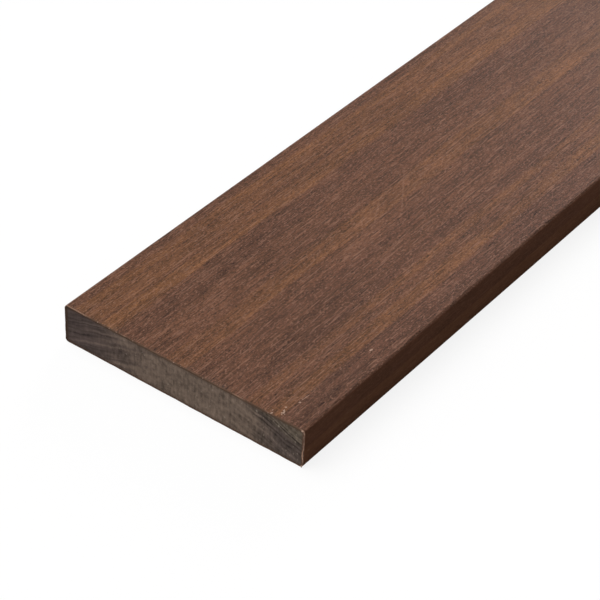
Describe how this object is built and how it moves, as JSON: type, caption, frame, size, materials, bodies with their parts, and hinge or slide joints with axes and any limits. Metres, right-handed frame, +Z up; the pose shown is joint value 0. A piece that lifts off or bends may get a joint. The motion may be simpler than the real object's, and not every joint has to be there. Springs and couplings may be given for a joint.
{
  "type": "capped composite decking board",
  "caption": "Solid square-edged composite decking board with a brown wood-grain cap all round, a grey-brown core showing at its sawn ends and eased long edges.",
  "frame": {"origin": "middle of the underside", "axes": "+X along the board's length, +Y across its width, +Z up from the underside to the walking face"},
  "size_m": [2.4, 0.145, 0.0225],
  "materials": {
    "core": "matte",
    "cap": "matte"
  },
  "bodies": {
    "root": {"core": "core", "cap": "cap"}
  },
  "joints": []
}
